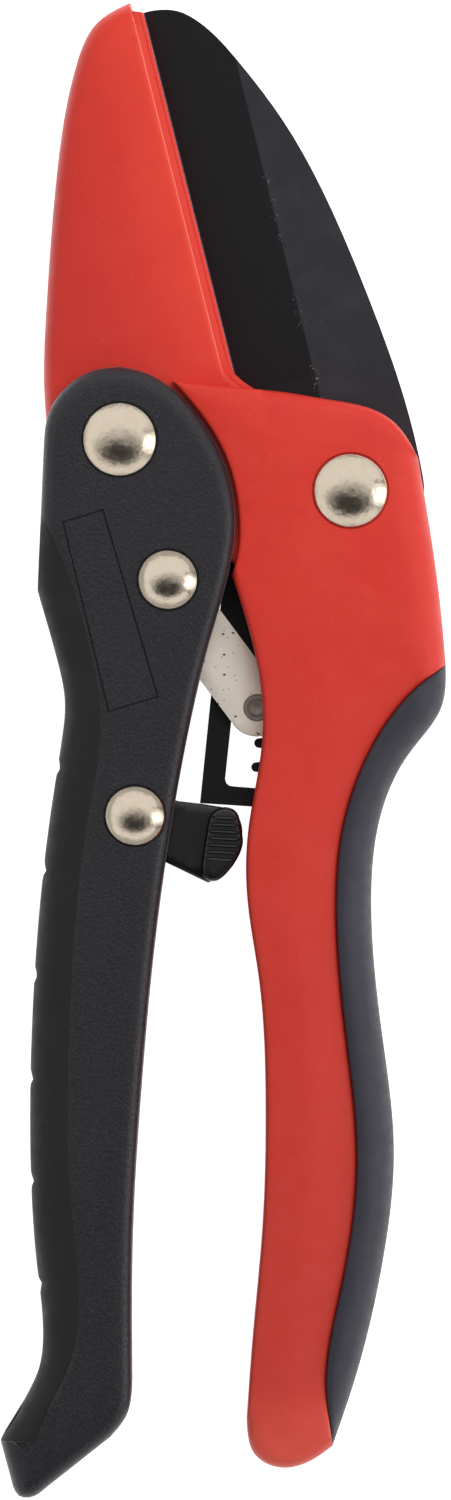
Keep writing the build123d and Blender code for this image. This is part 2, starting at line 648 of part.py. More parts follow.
# --- springs ---
save(torsion_spring(LEVER_PIVOT, 0.55, 4.95, 305, 1170, 0.0, (12.4, 6.6)), "opening_spring")
save(torsion_spring(LINK_PIVOT, 0.35, 3.5, 290, 900, 5.1, (7.0, 6.0)), "link_spring")
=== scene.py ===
"""Ratchet anvil pruning shears: finished shapes, materials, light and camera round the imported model.

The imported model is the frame. The moulded, rubber and riveted pieces are modelled again here
with crowned faces and soft edges, on the same outlines, and stand for their CAD nodes. Plane
sizes are in millimetres in the row frame, and heights are millimetres from the tool's middle
plane; meshes are made in metres.
"""

import json
import math

import bpy
import numpy as np
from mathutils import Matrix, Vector
from mathutils.geometry import delaunay_2d_cdt


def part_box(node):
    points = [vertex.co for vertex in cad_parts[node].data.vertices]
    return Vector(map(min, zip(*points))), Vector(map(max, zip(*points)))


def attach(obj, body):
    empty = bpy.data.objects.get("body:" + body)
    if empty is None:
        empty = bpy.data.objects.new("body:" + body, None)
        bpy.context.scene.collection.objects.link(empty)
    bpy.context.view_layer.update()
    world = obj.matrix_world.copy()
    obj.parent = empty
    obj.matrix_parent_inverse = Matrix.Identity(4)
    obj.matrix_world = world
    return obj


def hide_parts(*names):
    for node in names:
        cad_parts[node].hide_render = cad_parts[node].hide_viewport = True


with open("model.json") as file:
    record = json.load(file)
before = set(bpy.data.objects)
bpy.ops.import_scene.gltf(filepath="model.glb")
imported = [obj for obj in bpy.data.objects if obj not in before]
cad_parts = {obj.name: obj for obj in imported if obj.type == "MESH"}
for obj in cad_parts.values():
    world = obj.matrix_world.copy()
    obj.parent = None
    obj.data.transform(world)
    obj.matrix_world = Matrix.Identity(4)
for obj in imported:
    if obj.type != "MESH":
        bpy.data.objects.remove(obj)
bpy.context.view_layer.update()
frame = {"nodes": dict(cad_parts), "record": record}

MM = 0.001
STEP = 0.7  # between points of an outline
HINGES = {joint["name"]: np.array(joint["pos_m"]) / MM for joint in frame["record"]["behaviour"]["joints"]}
LEVER_PIVOT = HINGES["handle_swing"][:2]
BLADE_PIVOT = HINGES["blade_swing"][:2]
LINK_PIVOT = HINGES["link_swing"][:2]
LATCH_PIVOT = HINGES["latch_swing"][:2]
MID = HINGES["handle_swing"][2]

# --- heights from the middle plane ---
LEVER_HALF = 10.0
CHEEK_INNER = 6.65
BODY_HALF = 9.2
HEAD_HALF = 6.2
JAW_TIP_HALF = 4.2
ANVIL_HALF = 3.2
GRIP_HALF = 10.0
SLOT_HALF = 1.9
LINK_SLOT_HALF = 3.85
LATCH_ARM_HALF = 4.2
LATCH_PAD_HALF = 7.4
LATCH_HUB_HALF = 6.0
ABOVE = 14.0  # past every face

# --- other sizes ---
GRIND_W = 10.8  # width of the blade's ground bevel
HEAD_SINK = 0.45  # of a rivet's head into its seat
TAIL_SINK = 1.3
BIG_HEAD_R = 5.05
SMALL_HEAD_R = 4.1
BIG_SHANK_R = 3.0
SMALL_SHANK_R = 2.0
LEVER_ROUND = 1.7
CREASE_ROUND = 0.3
FACET_SLOPE = 0.16
STRIP_ROUND = 3.0
GROOVE_W = 0.6  # of the lever rubber's cross grooves
GROOVE_DEPTH = 0.5
GROOVE_LENGTH = 3.6
PANEL_DEPTH = 0.14
PANEL_GROOVE_W = 0.26
PANEL_GROOVE_DEPTH = 0.5
GRIP_ROUND = 5.2
GRIP_SEAM_ROUND = 0.7
JAW_BACK_ROUND = 2.5
JAW_FALL_FROM = 56.0  # the jaw gets thinner from here to its tip
JAW_FALL_LENGTH = 46.5
PAD_RIM = 0.3  # the ribs stand up from a face this far below the pad's height
RIB_HALF_W = 0.27
RIB_SLOPE = -0.05
RIB_MARGIN = 0.34  # from a rib's end to the pad's outline
HEAD_ROOM_R = 11.3  # for the body's head between the lever's cheeks
JAW_HEAD_R = 9.8
BLADE_BASE_R = 10.8
TANG_SWEEP_R = 22.0
BUSH_BORE_R = 3.97
HEAD_POCKET_R = 6.4  # round the bush, for the opening spring
HEAD_POCKET_HALF = 2.5
LINK_EDGE = 0.22
LINK_OFFSET = 0.7  # of a link's upper end from the line between its pins
LINK_END_R = 4.0
LINK_PIN_END_R = 3.95
PIN_SEAT_R = 1.88
PIN_SEAT_DEPTH = 0.45
LINK_BORE_R = 2.05

# --- outlines ---
LEVER_HEAD = [(-24.7, 41.5), (-24.1, 45.8), (-21.6, 49.6), (-18.4, 51.7), (-14.3, 52.4)]
LEVER_INNER_EDGE = [
    (-14.3, 52.4), (-10.6, 51.5), (-7.4, 49.6), (-3.3, 45.2), (0.1, 39.0), (1.5, 32.0),
    (0.7, 24.6), (-2.1, 14.3), (-4.7, 3.4), (-7.0, -9.0), (-9.5, -26.8), (-11.4, -47.4),
    (-12.5, -66.0), (-12.6, -86.5),
]
LEVER_FOOT = [(-12.6, -86.5), (-13.2, -90.9), (-15.6, -94.2)]
LEVER_END = [(-24.2, -101.0), (-26.8, -102.5), (-28.1, -102.25), (-28.9, -101.0)]
LEVER_TOE = [(-30.4, -95.4), (-30.57, -94.6), (-30.15, -93.75)]
LEVER_OUTER_EDGE = [
    (-27.4, -89.3), (-25.4, -84.9), (-24.8, -80.0), (-25.6, -71.0), (-26.5, -57.0),
    (-26.4, -40.0), (-25.3, -22.0), (-23.9, -9.7), (-22.2, 1.6), (-21.8, 6.2),
    (-22.8, 12.0), (-25.2, 20.5),
]
LEVER_SHOULDER = (-25.55, 21.8)
LEVER_BAND_TOP = (-25.13, 31.5)
LEVER_CREASE = [
    (-24.6, 31.5), (-20.4, 21.2), (-18.0, 12.0), (-16.9, 4.0), (-18.6, -9.0),
    (-20.4, -24.0), (-21.4, -46.0), (-21.0, -62.0), (-19.9, -77.0), (-21.3, -84.4),
    (-23.8, -89.6),
]
LEVER_CREASE_END = (-26.0, -94.8)
LEVER_FACET = [(-26.0, -94.8), (-26.3, -101.0)]
LEVER_WEB = [
    (-22.6, 33.0), (-21.6, 21.0), (-19.6, 12.0), (-18.6, 4.5), (-19.9, -9.0), (-21.7, -24.0),
    (-22.6, -46.0), (-22.4, -60.0), (-21.4, -74.0), (-20.6, -86.0),
]
LEVER_RIBS = [((-17.2, -30.0), 10.6), ((-18.2, -52.0), 9.6), ((-18.2, -74.0), 8.4)]
LEVER_RIB_HALF_L = 0.8
LEVER_MOUTH = [(-15.5, -88.5), (12.0, -88.5), (12.0, 60.0), (-40.0, 60.0), (-40.0, 36.5)]
LEVER_BACK_END = (-24.2, 36.5)
LEVER_PANEL = [(-22.2, 31.2), (-16.5, 32.9), (-8.9, 7.1), (-15.9, 5.0)]
LEVER_GROOVE_YS = (-2.5, -16.5, -30.9, -45.0, -59.0, -73.2)
GRIP_SEAM = [
    (30.4, 11.6), (26.1, 8.2), (22.5, 4.0), (18.2, -4.2), (16.0, -12.4),
    (15.4, -22.7), (16.7, -39.1), (18.2, -56.3), (16.0, -74.1), (14.0, -86.5),
    (14.9, -95.4),
]
GRIP_OUTER = [
    (30.4, 11.6), (29.9, 6.0), (25.6, -0.3), (21.7, -8.3), (20.2, -21.5),
    (21.7, -39.1), (23.3, -54.9), (21.8, -70.0), (18.0, -86.2), (14.9, -95.4),
]
BODY_TOP = [
    (5.6, 49.2), (8.0, 48.95), (14.0, 47.97), (19.6, 46.85), (22.9, 45.15), (25.1, 42.6), (26.6, 39.9),
]
BODY_RIGHT = [(26.6, 39.9), (28.5, 28.5), (29.8, 18.5), (30.4, 11.6)]
BODY_END = [(14.9, -95.4), (12.2, -97.3), (7.6, -98.4), (4.2, -96.6), (3.1, -92.0)]
BODY_INNER_EDGE = [
    (1.1, 23.8), (3.4, 16.4), (5.1, 8.0), (5.1, -0.1), (3.4, -10.5), (3.2, -20.6),
    (4.7, -31.0), (5.7, -49.0), (5.3, -65.0), (3.9, -81.0), (3.1, -92.0),
]
BODY_RECESS = [(1.1, 23.8), (1.95, 27.6), (2.0, 32.2), (0.55, 39.2), (-2.9, 45.5), (-7.0, 50.4)]
JAW_LEFT = [
    (-24.0, 41.0), (-24.7, 50.0), (-24.4, 60.3), (-22.9, 79.5), (-20.3, 93.9), (-17.4, 99.8),
    (-12.9, 102.5),
]
JAW_FACE = [(-12.3, 100.6), (-0.25, 52.6)]
JAW_ROOT = [(-0.25, 52.6), (1.9, 50.1), (5.6, 49.0)]
JAW_FOOT = [(10.0, 46.0), (10.0, 25.5), (2.5, 24.4)]
JAW_SHOULDER = (-8.6, 34.4)
ANVIL_EDGE = [(-11.2, 101.1), (1.25, 51.6)]
LAND_FOOT = [(2.6, 50.4), (4.4, 49.2)]
LAND_INNER_END = (-1.6, 48.0)
LAND_TIP = (-12.6, 101.3)
BLADE_SLOT_MOUTH = [(40.0, 90.0), (40.0, 30.9)]
BLADE_SLOT_TANG = [(12.6, 4.0), (10.6, -10.0), (-6.0, -10.0), (-12.0, 20.0), (-6.2, 34.0)]
LINK_SLOT = [(-3.0, 26.5), (4.0, 20.0), (9.4, 9.5), (8.6, 2.4), (3.0, -0.4)]
LATCH_ARM_RUNS = [
    [(-12.2, -4.9), (-6.3, -7.1)],
    [(-6.3, -7.1), (-3.3, -7.45)],
    [(-3.3, -7.45), (0.1, -8.0)],
    [(0.1, -8.0), (1.9, -9.2), (2.5, -12.2), (1.9, -14.6), (0.2, -17.1), (-2.2, -18.3)],
    [(-2.2, -18.3), (-8.0, -15.5)],
    [(-8.0, -15.5), (-13.4, -13.1)],
    [(-13.4, -13.1), (-12.2, -4.9)],
]
LATCH_TANG_ROOM = [(-7.4, -3.0), (-7.4, -11.8), (5.0, -12.6), (5.0, -3.0)]
LATCH_TOOTH = [(-2.3, -13.5), (-1.5, -8.6), (0.1, -8.6), (0.9, -13.5)]
LATCH_TOOTH_HEIGHTS = (-1.5, -0.15)
LATCH_PAD = [
    (-2.75, -13.0), (-2.4, -10.9), (-1.8, -8.9), (-0.1, -7.95), (1.7, -8.6), (2.3, -10.6),
    (2.6, -12.7), (1.95, -14.75), (0.3, -17.05), (-1.5, -18.1), (-2.9, -17.2), (-3.05, -15.1),
    (-2.75, -13.0),
]
LATCH_RIB_YS = (-9.4, -10.35, -11.3, -12.25, -13.2, -14.15, -15.1)


# ---------------------------------------------------------------- plane curves


def resample(line, step):
    """A polyline's points a step apart."""
    along = np.concatenate([[0], np.cumsum(np.linalg.norm(np.diff(line, axis=0), axis=1))])
    count = max(2, round(along[-1] / step) + 1)
    places = np.linspace(0, along[-1], count)
    return np.column_stack([np.interp(places, along, line[:, axis]) for axis in (0, 1)])


def curve(points, step=STEP):
    """A natural cubic curve through a few points, or a straight line through two."""
    given = np.array(points, float)
    count = len(given)
    if count == 2:
        return resample(given, step)
    gaps = np.linalg.norm(np.diff(given, axis=0), axis=1)
    knots = np.concatenate([[0], np.cumsum(gaps)])
    matrix, target = np.eye(count), np.zeros((count, 2))
    for i in range(1, count - 1):
        matrix[i, i - 1 : i + 2] = gaps[i - 1], 2 * (gaps[i - 1] + gaps[i]), gaps[i]
        after, before = (given[i + 1] - given[i]) / gaps[i], (given[i] - given[i - 1]) / gaps[i - 1]
        target[i] = 6 * (after - before)
    bend = np.linalg.solve(matrix, target)
    places = np.linspace(0, knots[-1], 50 * count)
    k = np.clip(np.searchsorted(knots, places, side="right") - 1, 0, count - 2)
    gap = gaps[k][:, None]
    since, until = (places - knots[k])[:, None], (knots[k + 1] - places)[:, None]
    line = (bend[k] * until**3 + bend[k + 1] * since**3) / (6 * gap)
    line += (given[k] / gap - bend[k] * gap / 6) * until
    line += (given[k + 1] / gap - bend[k + 1] * gap / 6) * since
    return resample(line, step)


def arc(centre, radius, start, end, step=STEP):
    """A circular arc between two angles in degrees."""
    count = max(3, round(abs(math.radians(end - start)) * radius / step) + 1)
    turn = np.radians(np.linspace(start, end, count))
    return np.column_stack([centre[0] + radius * np.cos(turn), centre[1] + radius * np.sin(turn)])


def circle(centre, radius, step=0.5):
    return arc(centre, radius, 0, 360, step)[:-1]


def closed(*runs):
    """Runs of points joined end to end into one counter-clockwise loop."""
    points = np.vstack(runs)
    keep = np.linalg.norm(points - np.roll(points, 1, axis=0), axis=1) > 1e-4
    points = points[keep]
    x, y = points.T
    area = np.sum(x * np.roll(y, -1) - np.roll(x, -1) * y)
    return points if area > 0 else points[::-1]


def distance(points, line, loop=True):
    """How far each point is from a polyline."""
    start = line if loop else line[:-1]
    end = np.roll(line, -1, axis=0) if loop else line[1:]
    way = end - start
    length = np.maximum((way**2).sum(axis=1), 1e-12)
    result = []
    for some in np.array_split(points, max(1, len(points) // 1500)):
        offset = some[:, None] - start[None]
        share = np.clip((offset * way).sum(axis=2) / length, 0, 1)
        result.append(np.sqrt(((offset - share[..., None] * way) ** 2).sum(axis=2)).min(axis=1))
    return np.concatenate(result)


def inside(points, loop):
    """Which points are within a loop."""
    x, y = points[:, :1], points[:, 1:]
    ax, ay = loop.T
    bx, by = np.roll(loop, -1, axis=0).T
    rise = np.where(by == ay, 1e-12, by - ay)
    crossing = ((ay > y) != (by > y)) & (x < (bx - ax) * (y - ay) / rise + ax)
    return crossing.sum(axis=1) % 2 == 1


# ---------------------------------------------------------------- meshes


def to_object(name, points, faces):
    """A mesh object from points in millimetres, heights counted from the middle plane."""
    mesh = bpy.data.meshes.new(name)
    placed = (np.asarray(points) + (0, 0, MID)) * MM
    mesh.from_pydata(placed.tolist(), [], faces)
    mesh.validate()
    obj = bpy.data.objects.new(name, mesh)
    bpy.context.scene.collection.objects.link(obj)
    return obj


def rounding(d, radius):
    """How far a quarter-round edge drops, at a distance from the edge."""
    near = radius - np.minimum(d, radius)
    return radius - np.sqrt(np.maximum(radius**2 - near**2, 0))


def crown(d, width, drop):
    """How far a gently domed face drops, at a distance from the edge."""
    return drop * (1 - np.minimum(d, width) / width) ** 2


def pillow(
    name, loop, top, bottom=None, rings=(0.05, 0.2, 0.5, 0.95, 1.6, 2.5), spacing=1.3, lines=()
):
    """A closed solid on an outline. top and bottom give the height of a face at each point from
    the point's distance to the outline; without a bottom the solid is the same on both sides.
    The mesh has edges along the given lines, so that the face can have a crease there."""
    tangent = np.roll(loop, -1, axis=0) - np.roll(loop, 1, axis=0)
    tangent /= np.linalg.norm(tangent, axis=1)[:, None]
    inward = np.column_stack([-tangent[:, 1], tangent[:, 0]])
    layers = [loop]
    for ring in rings:
        offset = (loop + inward * ring)[:: 1 if ring < 1.2 else 2]
        offset = offset[inside(offset, loop)]
        layers.append(offset[distance(offset, loop) > 0.96 * ring])
    low, high = loop.min(axis=0), loop.max(axis=0)
    columns = np.arange(low[0], high[0], spacing)
    rows = np.arange(low[1], high[1], spacing * 0.866)
    x, y = np.meshgrid(columns, rows)
    x[1::2] += spacing / 2
    grid = np.column_stack([x.ravel(), y.ravel()])
    grid = grid[inside(grid, loop)]
    layers.append(grid[distance(grid, loop) > rings[-1] + 0.55 * spacing])
    count = len(loop)
    ring_edges = [(i, (i + 1) % count) for i in range(count)]
    creases = [line[inside(line, loop) & (distance(line, loop) > 0.12)] for line in lines]
    for line in creases:
        layers[1:] = [layer[distance(layer, line, loop=False) > 0.3] for layer in layers[1:]]
    for line in creases:
        start = sum(len(layer) for layer in layers)
        ring_edges += [(start + i, start + i + 1) for i in range(len(line) - 1)]
        layers.append(line)
    flat = np.vstack(layers)
    coords, _, faces, _, _, _ = delaunay_2d_cdt(
        [Vector(p) for p in flat], ring_edges, [], 1, 1e-6
    )
    plane = np.array([tuple(c) for c in coords])
    d = distance(plane, loop)
    d[d < 1e-4] = 0
    upper = top(d, plane)
    lower = bottom(d, plane) if bottom else -upper
    points = np.vstack([np.column_stack([plane, upper]), np.column_stack([plane, lower])])
    total = len(plane)
    sides = {}
    for face in faces:
        for a, b in zip(face, face[1:] + face[:1]):
            if (b, a) in sides:
                del sides[b, a]
            else:
                sides[a, b] = None
    solid = list(faces) + [tuple(total + i for i in reversed(face)) for face in faces]
    solid += [(b, a, total + a, total + b) for a, b in sides]
    return to_object(name, points, solid)


def prism(name, loop, low, high):
    """A straight-sided solid on an outline."""
    loop = closed(np.array(loop, float))
    count = len(loop)
    points = np.vstack([np.column_stack([loop, np.full(count, z)]) for z in (low, high)])
    faces = [tuple(reversed(range(count))), tuple(range(count, 2 * count))]
    faces += [(i, (i + 1) % count, count + (i + 1) % count, count + i) for i in range(count)]
    return to_object(name, points, faces)


def lathe(name, centre, profile, turns=96):
    """A solid turned about a vertical axis from a profile of (radius, height), bottom to top."""
    points, rows = [], []
    for radius, height in profile:
        if radius < 1e-6:
            rows.append([len(points)] * turns)
            points.append((centre[0], centre[1], height))
            continue
        rows.append(list(range(len(points), len(points) + turns)))
        for x, y in circle(centre, radius, 2 * math.pi * radius / turns)[:turns]:
            points.append((x, y, height))
    faces = []
    for lower, upper in zip(rows, rows[1:]):
        for i in range(turns):
            j = (i + 1) % turns
            face = dict.fromkeys((lower[i], lower[j], upper[j], upper[i]))
            if len(face) > 2:
                faces.append(tuple(face))
    return to_object(name, points, faces)


def bake(obj):
    """Applies an object's modifiers."""
    shape = bpy.data.meshes.new_from_object(
        obj.evaluated_get(bpy.context.evaluated_depsgraph_get())
    )
    obj.modifiers.clear()
    obj.data = shape


def cut(obj, *tools):
    """Takes the tools away from a solid."""
    for tool in tools:
        step = obj.modifiers.new("cut", "BOOLEAN")
        step.operation = "DIFFERENCE"
        step.solver = "EXACT"
        step.object = tool
    bpy.context.view_layer.update()
    bake(obj)
    for tool in tools:
        bpy.data.objects.remove(tool)


def join(name, *parts):
    """One object out of several closed solids."""
    points, faces = [], []
    for part in parts:
        offset = len(points)
        points += [tuple(v.co) for v in part.data.vertices]
        faces += [tuple(offset + i for i in polygon.vertices) for polygon in part.data.polygons]
        bpy.data.objects.remove(part)
    mesh = bpy.data.meshes.new(name)
    mesh.from_pydata(points, [], faces)
    mesh.validate()
    obj = bpy.data.objects.new(name, mesh)
    bpy.context.scene.collection.objects.link(obj)
    return obj


def seats(point, head_r, half):
    """Tools that cut a rivet head's shallow seat in the front and its tail's in the back."""
    gap = 0.25
    return (
        prism("seat", circle(point, head_r + gap), half - HEAD_SINK, ABOVE),
        prism("seat", circle(point, head_r), -ABOVE, -(half - TAIL_SINK)),
    )


def piece(obj, body, nodes, slot, sharp=40):
    """Finishes a piece: shading, the body it rides on, what it stands for, and its material."""
    obj.data.shade_smooth()
    obj.data.set_sharp_from_angle(angle=math.radians(sharp))
    obj.data.materials.clear()
    obj.data.materials.append(MATERIALS[slot])
    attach(obj, body)
    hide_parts(*nodes)


# ---------------------------------------------------------------- materials


class Shader:
    """A Principled material with the few node chains that the finishes here are made of."""

    def __init__(self, name, colour, roughness, **fixed):
        self.material = bpy.data.materials.new(name)
        self.material.use_nodes = True
        self.tree = self.material.node_tree
        self.shader = self.tree.nodes["Principled BSDF"]
        self.colour = colour
        self.shader.inputs["Base Color"].default_value = (*colour, 1)
        self.shader.inputs["Roughness"].default_value = roughness
        for label, value in fixed.items():
            self.shader.inputs[label.replace("_", " ")].default_value = value
        self.place = self.add("ShaderNodeTexCoord").outputs["Object"]
        self.base = None
        self.normal = None

    def add(self, kind, **settings):
        node = self.tree.nodes.new(kind)
        for key, value in settings.items():
            setattr(node, key, value)
        return node

    def link(self, output, socket):
        self.tree.links.new(output, socket)

    def axis(self, name):
        """One of the object coordinates, in metres."""
        node = self.add("ShaderNodeSeparateXYZ")
        self.link(self.place, node.inputs["Vector"])
        return node.outputs[name]

    def across_anvil(self):
        """The distance across the cutting edge's line, and where that line is."""
        top, foot = np.array(ANVIL_EDGE)
        out = np.array([-(foot - top)[1], (foot - top)[0]])
        out /= np.linalg.norm(out)
        parts = [self.maths("MULTIPLY", self.axis(name), float(out[i])) for i, name in enumerate("XY")]
        return self.maths("ADD", *parts), float(top @ out) * MM

    def stretched(self, scale):
        """Object coordinates stretched along the axes."""
        node = self.add("ShaderNodeMapping")
        node.inputs["Scale"].default_value = scale
        self.link(self.place, node.inputs["Vector"])
        return node.outputs["Vector"]

    def noise(self, size, detail, place=None):
        """Cloudy noise with features of a size in millimetres."""
        node = self.add("ShaderNodeTexNoise")
        node.inputs["Scale"].default_value = 1 / (size * MM)
        node.inputs["Detail"].default_value = detail
        node.inputs["Roughness"].default_value = 0.55
        self.link(place or self.place, node.inputs["Vector"])
        return node.outputs["Fac"]

    def cells(self, size, place=None, dimensions="3D"):
        """Distance to scattered points, about a size in millimetres apart."""
        node = self.add("ShaderNodeTexVoronoi", voronoi_dimensions=dimensions)
        node.inputs["Scale"].default_value = 1 / (size * MM)
        self.link(place or self.place, node.inputs["Vector"])
        return node.outputs["Distance"]

    def ramp(self, value, low, high, start=0.0, end=1.0):
        """A value taken from one range to another, and clamped."""
        node = self.add("ShaderNodeMapRange", clamp=True)
        for label, number in (("From Min", low), ("From Max", high), ("To Min", start), ("To Max", end)):
            node.inputs[label].default_value = number
        self.link(value, node.inputs["Value"])
        return node.outputs["Result"]

    def maths(self, operation, first, second):
        node = self.add("ShaderNodeMath", operation=operation)
        for socket, value in zip(node.inputs, (first, second)):
            if isinstance(value, (int, float)):
                socket.default_value = value
            else:
                self.link(value, socket)
        return node.outputs["Value"]

    def tint(self, mask, colour):
        """Lays a colour over what the base colour is so far, where the mask is."""
        node = self.add("ShaderNodeMix", data_type="RGBA")
        self.link(mask, node.inputs["Factor"])
        if self.base is None:
            node.inputs["A"].default_value = (*self.colour, 1)
        else:
            self.link(self.base, node.inputs["A"])
        node.inputs["B"].default_value = (*colour, 1)
        self.base = node.outputs["Result"]
        self.link(self.base, self.shader.inputs["Base Color"])

    def bump(self, height, depth):
        """Adds relief of a depth in millimetres."""
        node = self.add("ShaderNodeBump")
        node.inputs["Strength"].default_value = 1.0
        node.inputs["Distance"].default_value = depth * MM
        self.link(height, node.inputs["Height"])
        if self.normal is not None:
            self.link(self.normal, node.inputs["Normal"])
        self.normal = node.outputs["Normal"]
        self.link(self.normal, self.shader.inputs["Normal"])

    def rough(self, value):
        self.link(value, self.shader.inputs["Roughness"])


def red_nylon():
    s = Shader("red_nylon", (0.62, 0.027, 0.0145), 0.42, Specular_IOR_Level=0.36)
    s.tint(s.ramp(s.noise(9, 4), 0.4, 0.7, 0, 0.5), (0.67, 0.041, 0.024))
    s.tint(s.ramp(s.noise(2.2, 5), 0.5, 0.75, 0, 0.35), (0.54, 0.017, 0.012))
    down = s.ramp(s.axis("Y"), 25 * MM, -85 * MM, 0, 0.75)
    s.tint(down, (0.49, 0.036, 0.0235))
    s.tint(s.maths("MULTIPLY", down, s.ramp(s.noise(1.6, 5), 0.4, 0.75, 0, 0.5)), (0.56, 0.05, 0.035))
    # Painted highlight: the handle's bottom end is painted lighter, as if lit there.
    s.tint(s.ramp(s.axis("Y"), -97 * MM, -87 * MM, 0.8, 0), (0.7, 0.085, 0.055))
    # Painted light and painted shade on the jaw: glow paints light near the anvil edge and shade paints
    # shade towards the jaw's back, as light falls on its crowned face.
    jaw = s.ramp(s.axis("Y"), 50 * MM, 54 * MM)
    across, edge = s.across_anvil()
    glow = s.ramp(across, edge - 8 * MM, edge - 2 * MM, 0, 0.6)
    s.tint(s.maths("MULTIPLY", glow, jaw), (0.74, 0.045, 0.022))
    shade = s.ramp(across, edge - 17 * MM, edge - 6 * MM, 0.6, 0)
    s.tint(s.maths("MULTIPLY", shade, jaw), (0.5, 0.02, 0.014))
    # Painted lines along the anvil: a dark line of painted shade in the groove between the ledges, 0.42 mm
    # back, and a pale line of painted highlight on the face's rounded edge, 1.42 mm back.
    for back, half_w, colour in ((0.42, 0.05, (0.4, 0.012, 0.008)), (1.42, 0.06, (0.86, 0.17, 0.11))):
        away = s.maths("ABSOLUTE", s.maths("SUBTRACT", across, edge - back * MM), 0)
        line = s.ramp(away, half_w * MM, 2.6 * half_w * MM, 0.75, 0)
        s.tint(s.maths("MULTIPLY", line, jaw), colour)
    s.tint(s.ramp(s.cells(2.4), 0.0, 0.06, 0.5, 0), (0.72, 0.2, 0.15))
    s.rough(s.ramp(s.noise(3, 5), 0.3, 0.7, 0.36, 0.5))
    s.bump(s.noise(0.5, 4), 0.018)
    s.bump(s.noise(5, 2), 0.05)
    return s.material


def black_nylon():
    s = Shader("black_nylon", (0.0078, 0.0063, 0.0098), 0.45, Specular_IOR_Level=0.62)
    for label, value in (("Weight", 0.3), ("Roughness", 0.3), ("Tint", (0.9, 0.84, 1.0, 1))):
        s.shader.inputs["Sheen " + label].default_value = value
    s.tint(s.ramp(s.noise(7, 4), 0.4, 0.7, 0, 0.6), (0.0104, 0.0088, 0.0128))
    s.tint(s.ramp(s.cells(0.42), 0.0, 0.24, 0.7, 0), (0.09, 0.08, 0.1))
    s.tint(s.ramp(s.noise(0.5, 4), 0.5, 0.7, 0, 0.6), (0.0145, 0.013, 0.0165))
    s.rough(s.ramp(s.noise(0.35, 3), 0.3, 0.7, 0.32, 0.54))
    s.bump(s.noise(0.42, 3), 0.075)
    return s.material


def black_rubber():
    s = Shader("black_rubber", (0.0095, 0.0098, 0.0098), 0.62, Specular_IOR_Level=0.35)
    s.tint(s.ramp(s.noise(6, 4), 0.4, 0.7, 0, 0.6), (0.0125, 0.013, 0.013))
    s.rough(s.ramp(s.noise(2, 4), 0.3, 0.7, 0.5, 0.68))
    s.bump(s.noise(0.2, 2), 0.012)
    return s.material


def grip_rubber():
    s = Shader("grip_rubber", (0.027, 0.0252, 0.0365), 0.5, Specular_IOR_Level=0.4)
    s.tint(s.ramp(s.noise(8, 4), 0.4, 0.7, 0, 0.6), (0.037, 0.035, 0.048))
    s.tint(s.ramp(s.noise(0.6, 4), 0.5, 0.8, 0, 0.4), (0.022, 0.021, 0.029))
    s.rough(s.ramp(s.noise(1.5, 4), 0.3, 0.7, 0.42, 0.6))
    s.bump(s.noise(0.3, 3), 0.025)
    return s.material


def nickel():
    s = Shader("nickel_steel", (0.80, 0.69, 0.55), 0.18, Metallic=1.0)
    s.tint(s.ramp(s.noise(2.5, 4), 0.5, 0.75, 0, 0.4), (0.74, 0.62, 0.45))
    s.tint(s.ramp(s.cells(0.7), 0.0, 0.08, 0.35, 0), (0.3, 0.24, 0.17))
    s.rough(s.ramp(s.noise(0.9, 4), 0.3, 0.75, 0.13, 0.26))
    s.bump(s.noise(2.2, 2), 0.08)
    s.bump(s.noise(0.5, 3), 0.016)
    return s.material


def plain_steel(name, colour, roughness):
    s = Shader(name, colour, roughness, Metallic=1.0)
    s.tint(s.ramp(s.noise(1.2, 4), 0.45, 0.75, 0, 0.5), tuple(0.6 * c for c in colour))
    s.rough(s.ramp(s.noise(0.5, 3), 0.3, 0.7, roughness - 0.08, roughness + 0.12))
    s.bump(s.noise(0.25, 3), 0.01)
    return s.material


def link_nickel():
    """Satin plate, dulled, with black pits of two sizes."""
    s = Shader("link_nickel", (0.82, 0.755, 0.65), 0.42, Metallic=0.3)
    s.tint(s.ramp(s.noise(3, 4), 0.4, 0.7, 0, 0.5), (0.87, 0.80, 0.70))
    flat = s.stretched((1, 1.5, 0))
    for size, radius, share in ((2.9, 0.055, 0.46), (1.5, 0.05, 0.5)):
        pits = s.ramp(s.cells(size, flat, "2D"), radius, 1.5 * radius, 1, 0)
        few = s.ramp(s.noise(1.7 * size, 1, flat), share, share + 0.03)
        s.tint(s.maths("MULTIPLY", pits, few), (0.02, 0.017, 0.012))
    s.rough(s.ramp(s.noise(0.6, 4), 0.3, 0.7, 0.36, 0.52))
    s.bump(s.noise(0.22, 4), 0.008)
    return s.material


